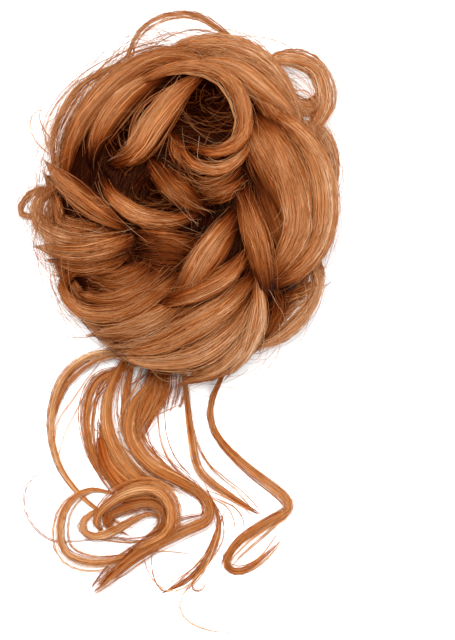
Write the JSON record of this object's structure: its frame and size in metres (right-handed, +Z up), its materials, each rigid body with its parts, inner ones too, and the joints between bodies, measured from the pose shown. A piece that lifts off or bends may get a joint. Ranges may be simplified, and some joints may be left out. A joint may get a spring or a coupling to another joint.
{
  "type": "curly false-hair top knot hairpiece on an elastic band",
  "caption": "Messy bun of looped curly false hair over an elastic hair band, with loose curled locks trailing from its lower edge.",
  "frame": {"origin": "middle of the base of the whole piece as it lies, bun and trailing locks together", "axes": "+Z up from the surface, +Y from the trailing locks towards the bun, +X to the right seen from above"},
  "size_m": [0.1406, 0.2758, 0.0575],
  "materials": {
    "hair": "satin copper synthetic hair",
    "tail_hair": "satin light copper synthetic hair",
    "elastic": "matt black covered elastic"
  },
  "bodies": {
    "root": {"bun": "hair", "elastic_band": "elastic", "tail_curls": "tail_hair", "tail_thin_lock": "tail_hair", "tail_long_lock": "tail_hair"}
  },
  "joints": []
}
